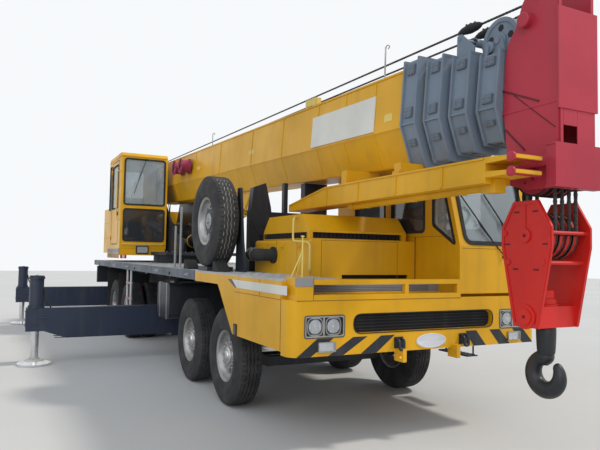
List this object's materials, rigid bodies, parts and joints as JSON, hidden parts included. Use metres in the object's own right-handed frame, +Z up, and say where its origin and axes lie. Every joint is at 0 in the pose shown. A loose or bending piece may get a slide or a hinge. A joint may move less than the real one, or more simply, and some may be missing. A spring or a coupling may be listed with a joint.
{
  "type": "mobile crane",
  "caption": "Truck crane with a nested telescopic boom, sheave head, hook block, stowed jib, half cab, operator's cab and sliding outriggers.",
  "frame": {"origin": "on the ground, midway between the boom head's front and the frame's tail, on the centre line", "axes": "+X forwards in the driving direction, +Y to the driver's left, +Z up"},
  "size_m": [12.82, 6.53, 3.745],
  "materials": {
    "yellow": "semi-gloss enamel",
    "red": "semi-gloss enamel",
    "grey_blue": "matt enamel",
    "black": "satin enamel",
    "navy": "satin enamel",
    "deck_grey": "matt walkway plate",
    "silver": "silver enamel",
    "chrome": "polished rod",
    "steel": "bare steel",
    "iron": "oily casting",
    "tyre": "dusty rubber",
    "rubber": "matt rubber",
    "dark_plastic": "moulded plastic and vinyl",
    "lamp": "clear lamp lens"
  },
  "bodies": {
    "carrier": {"chassis_frame": "black", "outrigger_boxes": "navy", "bumper": "yellow", "side_skirts": "yellow", "deck": "deck_grey", "engine_hood": "yellow", "engine": "iron", "intake_duct": "rubber", "cab_shell": "yellow", "cab_interior": "dark_plastic", "boom_rest": "black", "spare_tyre": "tyre", "spare_rim": "silver", "axles": "black", "lamps": "lamp"},
    "steer_1r": {"knuckle_1r": "black"},
    "steer_1l": {"knuckle_1l": "black"},
    "steer_2r": {"knuckle_2r": "black"},
    "steer_2l": {"knuckle_2l": "black"},
    "wheel_1r": {"tyre_1r": "tyre", "rim_1r": "silver"},
    "wheel_1l": {"tyre_1l": "tyre", "rim_1l": "silver"},
    "wheel_2r": {"tyre_2r": "tyre", "rim_2r": "silver"},
    "wheel_2l": {"tyre_2l": "tyre", "rim_2l": "silver"},
    "wheel_3r": {"tyre_3r": "tyre", "rim_3r": "silver"},
    "wheel_3l": {"tyre_3l": "tyre", "rim_3l": "silver"},
    "wheel_4r": {"tyre_4r": "tyre", "rim_4r": "silver"},
    "wheel_4l": {"tyre_4l": "tyre", "rim_4l": "silver"},
    "beam_fr": {"outrigger_beam_fr": "navy"},
    "jack_fr": {"jack_rod_fr": "chrome"},
    "beam_fl": {"outrigger_beam_fl": "navy"},
    "jack_fl": {"jack_rod_fl": "chrome"},
    "beam_rr": {"outrigger_beam_rr": "navy"},
    "jack_rr": {"jack_rod_rr": "chrome"},
    "beam_rl": {"outrigger_beam_rl": "navy"},
    "jack_rl": {"jack_rod_rl": "chrome"},
    "cab_door": {"cab_door": "yellow"},
    "superstructure": {"turntable": "black", "winches": "steel", "counterweight": "yellow", "op_cab": "yellow", "op_interior": "dark_plastic"},
    "op_door": {"op_door": "yellow"},
    "boom_base": {"boom_1": "yellow", "jib": "yellow"},
    "lift_barrel": {"lift_barrel": "black"},
    "lift_rod": {"lift_rod": "chrome"},
    "boom_2": {"boom_2": "grey_blue"},
    "boom_3": {"boom_3": "grey_blue"},
    "boom_4": {"boom_4": "grey_blue"},
    "boom_top": {"boom_head": "red"},
    "hook_block": {"hook_block": "red"},
    "hook": {"hook": "black"}
  },
  "joints": [
    {"name": "steer_1r", "type": "hinge", "parent": "carrier", "child": "steer_1r", "pos_m": [2.79, -0.95, 0.54], "axis": [0, 0, 1], "range_deg": [-32, 32]},
    {"name": "steer_1l", "type": "hinge", "parent": "carrier", "child": "steer_1l", "pos_m": [2.79, 0.95, 0.54], "axis": [0, 0, 1], "range_deg": [-32, 32]},
    {"name": "steer_2r", "type": "hinge", "parent": "carrier", "child": "steer_2r", "pos_m": [1.39, -0.95, 0.54], "axis": [0, 0, 1], "range_deg": [-24, 24]},
    {"name": "steer_2l", "type": "hinge", "parent": "carrier", "child": "steer_2l", "pos_m": [1.39, 0.95, 0.54], "axis": [0, 0, 1], "range_deg": [-24, 24]},
    {"name": "spin_1r", "type": "hinge", "parent": "steer_1r", "child": "wheel_1r", "pos_m": [2.79, -1.13, 0.54], "axis": [0, 1, 0], "continuous": true},
    {"name": "spin_1l", "type": "hinge", "parent": "steer_1l", "child": "wheel_1l", "pos_m": [2.79, 1.13, 0.54], "axis": [0, 1, 0], "continuous": true},
    {"name": "spin_2r", "type": "hinge", "parent": "steer_2r", "child": "wheel_2r", "pos_m": [1.39, -1.13, 0.54], "axis": [0, 1, 0], "continuous": true},
    {"name": "spin_2l", "type": "hinge", "parent": "steer_2l", "child": "wheel_2l", "pos_m": [1.39, 1.13, 0.54], "axis": [0, 1, 0], "continuous": true},
    {"name": "spin_3r", "type": "hinge", "parent": "carrier", "child": "wheel_3r", "pos_m": [-2.96, -1.13, 0.54], "axis": [0, 1, 0], "continuous": true},
    {"name": "spin_3l", "type": "hinge", "parent": "carrier", "child": "wheel_3l", "pos_m": [-2.96, 1.13, 0.54], "axis": [0, 1, 0], "continuous": true},
    {"name": "spin_4r", "type": "hinge", "parent": "carrier", "child": "wheel_4r", "pos_m": [-4.31, -1.13, 0.54], "axis": [0, 1, 0], "continuous": true},
    {"name": "spin_4l", "type": "hinge", "parent": "carrier", "child": "wheel_4l", "pos_m": [-4.31, 1.13, 0.54], "axis": [0, 1, 0], "continuous": true},
    {"name": "beam_slide_fr", "type": "slide", "parent": "carrier", "child": "beam_fr", "axis": [0, 1, 0], "range_m": [0, 1.76]},
    {"name": "jack_slide_fr", "type": "slide", "parent": "beam_fr", "child": "jack_fr", "axis": [0, 0, 1], "range_m": [0, 0.37]},
    {"name": "beam_slide_fl", "type": "slide", "parent": "carrier", "child": "beam_fl", "axis": [0, -1, 0], "range_m": [0, 1.76]},
    {"name": "jack_slide_fl", "type": "slide", "parent": "beam_fl", "child": "jack_fl", "axis": [0, 0, 1], "range_m": [0, 0.37]},
    {"name": "beam_slide_rr", "type": "slide", "parent": "carrier", "child": "beam_rr", "axis": [0, 1, 0], "range_m": [0, 1.76]},
    {"name": "jack_slide_rr", "type": "slide", "parent": "beam_rr", "child": "jack_rr", "axis": [0, 0, 1], "range_m": [0, 0.37]},
    {"name": "beam_slide_rl", "type": "slide", "parent": "carrier", "child": "beam_rl", "axis": [0, -1, 0], "range_m": [0, 1.76]},
    {"name": "jack_slide_rl", "type": "slide", "parent": "beam_rl", "child": "jack_rl", "axis": [0, 0, 1], "range_m": [0, 0.37]},
    {"name": "cab_door_hinge", "type": "hinge", "parent": "carrier", "child": "cab_door", "pos_m": [4.147, 1.422, 2], "axis": [0, 0, -1], "range_deg": [0, 70]},
    {"name": "slew", "type": "hinge", "parent": "carrier", "child": "superstructure", "pos_m": [-3.06, 0, 1.64], "axis": [0, 0, 1], "continuous": true},
    {"name": "op_door_hinge", "type": "hinge", "parent": "superstructure", "child": "op_door", "pos_m": [-4.217, -1.402, 2.6], "axis": [0, 0, -1], "range_deg": [0, 80]},
    {"name": "luff", "type": "hinge", "parent": "superstructure", "child": "boom_base", "pos_m": [-4.56, 0, 3.15], "axis": [0, -1, 0], "range_deg": [0, 81.85]},
    {"name": "lift_pivot", "type": "hinge", "parent": "superstructure", "child": "lift_barrel", "pos_m": [-2.96, 0, 1.88], "axis": [0, -1, 0], "range_deg": [0, 82.54]},
    {"name": "lift_extend", "type": "slide", "parent": "lift_barrel", "child": "lift_rod", "axis": [0.9842, 0, 0.1772], "range_m": [0, 2.6862]},
    {"name": "extend_boom_2", "type": "slide", "parent": "boom_base", "child": "boom_2", "axis": [0.9995, 0, -0.0323], "range_m": [0, 7.3]},
    {"name": "extend_boom_3", "type": "slide", "parent": "boom_2", "child": "boom_3", "axis": [0.9995, 0, -0.0323], "range_m": [0, 7.3]},
    {"name": "extend_boom_4", "type": "slide", "parent": "boom_3", "child": "boom_4", "axis": [0.9995, 0, -0.0323], "range_m": [0, 7.3]},
    {"name": "extend_boom_top", "type": "slide", "parent": "boom_4", "child": "boom_top", "axis": [0.9995, 0, -0.0323], "range_m": [0, 7.3]},
    {"name": "block_hang", "type": "hinge", "parent": "boom_top", "child": "hook_block", "pos_m": [6.12, 0, 2.3], "axis": [0, -1, 0], "range_deg": [-82.35, 0]},
    {"name": "hook_swivel", "type": "hinge", "parent": "hook_block", "child": "hook", "pos_m": [6.12, 0, 1.2], "axis": [0, 0, 1], "continuous": true}
  ],
  "couplings": [
    {"joint": "steer_1l", "follows": "steer_1r", "ratio": 1},
    {"joint": "steer_2r", "follows": "steer_1r", "ratio": 0.75},
    {"joint": "steer_2l", "follows": "steer_1r", "ratio": 0.75},
    {"joint": "lift_pivot", "follows": "luff", "ratio": 1.0023},
    {"joint": "lift_extend", "follows": "luff", "m_per_rad": 1.8734},
    {"joint": "block_hang", "follows": "luff", "ratio": -1}
  ]
}
